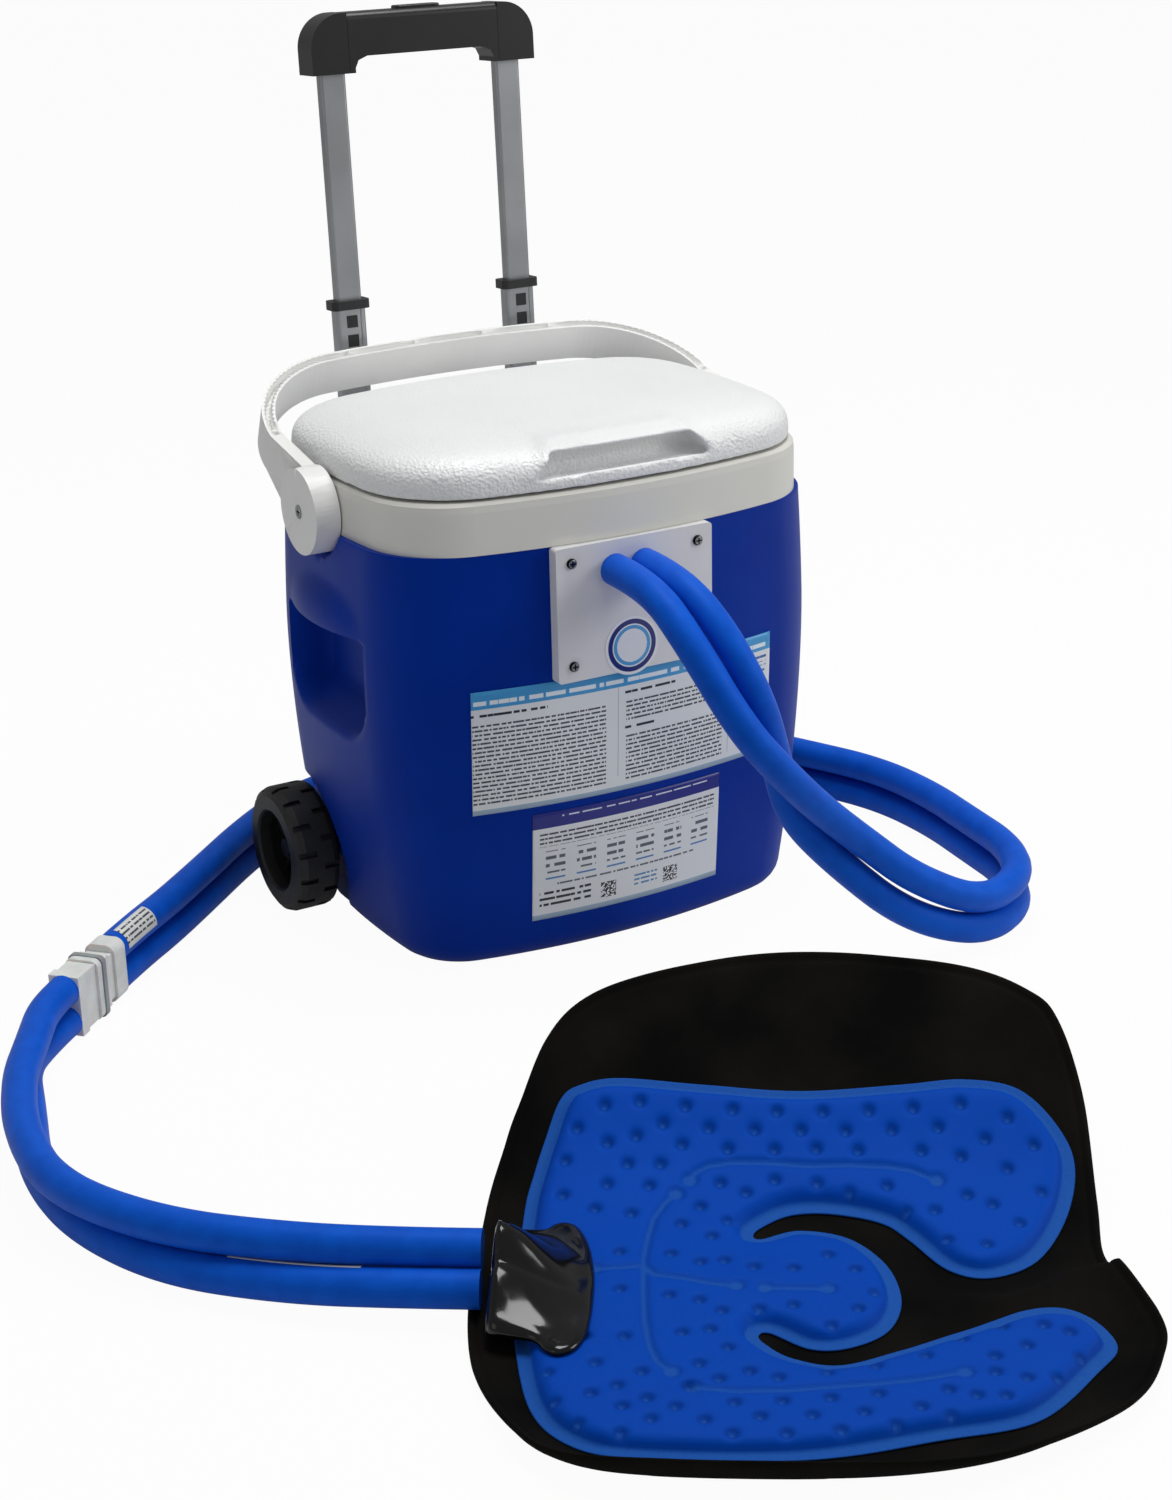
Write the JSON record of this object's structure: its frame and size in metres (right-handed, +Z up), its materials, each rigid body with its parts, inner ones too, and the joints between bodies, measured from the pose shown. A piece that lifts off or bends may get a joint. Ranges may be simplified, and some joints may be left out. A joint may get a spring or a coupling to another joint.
{
  "type": "hot cold therapy machine",
  "caption": "Insulated cooler tank with a domed lid, swing-over carry handle, pull-out trolley handle, side wheels, pump, foam-covered hoses, quick coupling and quilted water pad.",
  "frame": {"origin": "centre of the cooler's underside, on the floor", "axes": "+Z up, -Y out of the front plate and its hose exits, +Y towards the trolley handle and wheels, -X to the side of the near wheel"},
  "size_m": [0.9147, 1.1041, 0.722],
  "materials": {
    "tub_plastic": "satin",
    "white_plastic": "gloss",
    "liner_plastic": "satin",
    "foam": "matte",
    "collar_plastic": "satin",
    "stainless": "satin",
    "brass_fitting": "satin",
    "black_plastic": "satin",
    "grey_plastic": "satin",
    "sticker": "satin",
    "aluminium_tube": "satin",
    "clear_tube": "gloss",
    "grip_plastic": "satin",
    "tyre_rubber": "matte",
    "hub_plastic": "satin",
    "hose_foam": "matte",
    "translucent_plastic": "satin",
    "latch_plastic": "satin",
    "neoprene": "matte",
    "bladder_film": "gloss",
    "cover_vinyl": "gloss"
  },
  "bodies": {
    "cooler": {"tub_shell": "tub_plastic", "insulation_foam": "foam", "tank_liner": "liner_plastic", "collar": "collar_plastic", "hinge_pins": "stainless", "pivot_screws": "stainless", "front_plate": "white_plastic", "plate_screws": "stainless", "supply_bulkhead": "black_plastic", "return_bulkhead": "black_plastic", "bulkhead_nuts": "black_plastic", "plate_disc": "sticker", "power_gland": "black_plastic", "label_instructions": "sticker", "label_catalogue": "sticker", "pump_housing": "black_plastic", "pump_strainer": "grey_plastic", "impeller_shaft": "stainless", "riser_tube": "clear_tube", "return_drop_tube": "clear_tube", "outer_tube_left": "aluminium_tube", "outer_tube_right": "aluminium_tube", "tube_bush_left": "black_plastic", "tube_bush_right": "black_plastic", "snap_tabs": "black_plastic", "upper_bracket": "tub_plastic", "lower_bracket": "black_plastic", "bracket_bolts": "stainless", "stub_axle_left": "black_plastic", "stub_axle_right": "black_plastic", "axle_cap_left": "hub_plastic", "axle_cap_right": "hub_plastic", "supply_hose_near": "hose_foam", "return_hose_near": "hose_foam", "supply_hose_far": "hose_foam", "return_hose_far": "hose_foam", "coupling_cooler_half": "translucent_plastic", "coupling_pad_half": "translucent_plastic", "pad_wrap": "neoprene", "pad_bladder": "bladder_film", "pad_cover": "cover_vinyl"},
    "lid": {"lid_shell": "white_plastic", "lid_liner": "liner_plastic"},
    "carry_handle": {"bail_handle": "white_plastic"},
    "trolley": {"inner_tube_left": "aluminium_tube", "inner_tube_right": "aluminium_tube", "tube_guides": "grey_plastic", "grip_center": "grip_plastic", "grip_end_left": "grip_plastic", "grip_end_right": "grip_plastic"},
    "button": {"release_button": "black_plastic", "release_yoke": "stainless"},
    "left_wheel": {"tyre_left": "tyre_rubber", "hub_left": "hub_plastic"},
    "right_wheel": {"tyre_right": "tyre_rubber", "hub_right": "hub_plastic"},
    "pump_impeller": {"impeller": "grey_plastic"},
    "latch": {"coupling_latch": "latch_plastic"}
  },
  "joints": [
    {"name": "lid_hinge", "type": "hinge", "parent": "cooler", "child": "lid", "pos_m": [0, 0.1535, 0.393], "axis": [-1, 0, 0], "range_deg": [0, 38]},
    {"name": "carry_handle_hinge", "type": "hinge", "parent": "cooler", "child": "carry_handle", "pos_m": [0, 0.004, 0.365], "axis": [1, 0, 0], "range_deg": [0, 133]},
    {"name": "trolley_slide", "type": "slide", "parent": "cooler", "child": "trolley", "axis": [0, 0.0454, 0.999], "range_m": [-0.185, 0]},
    {"name": "button_press", "type": "slide", "parent": "trolley", "child": "button", "axis": [0, -0.0454, -0.999], "range_m": [0, 0.005], "stiffness_N_per_m": 400, "springref_m": -0.004},
    {"name": "wheel_left_spin", "type": "hinge", "parent": "cooler", "child": "left_wheel", "pos_m": [-0.207, 0.075, 0.054], "axis": [1, 0, 0], "continuous": true},
    {"name": "wheel_right_spin", "type": "hinge", "parent": "cooler", "child": "right_wheel", "pos_m": [0.207, 0.075, 0.054], "axis": [1, 0, 0], "continuous": true},
    {"name": "impeller_spin", "type": "hinge", "parent": "cooler", "child": "pump_impeller", "pos_m": [-0.002, -0.062, 0.043], "axis": [0, 0, 1], "continuous": true},
    {"name": "coupling_latch_slide", "type": "slide", "parent": "cooler", "child": "latch", "axis": [0.678, -0.735, 0], "range_m": [0, 0.003], "stiffness_N_per_m": 900, "springref_m": -0.001}
  ]
}
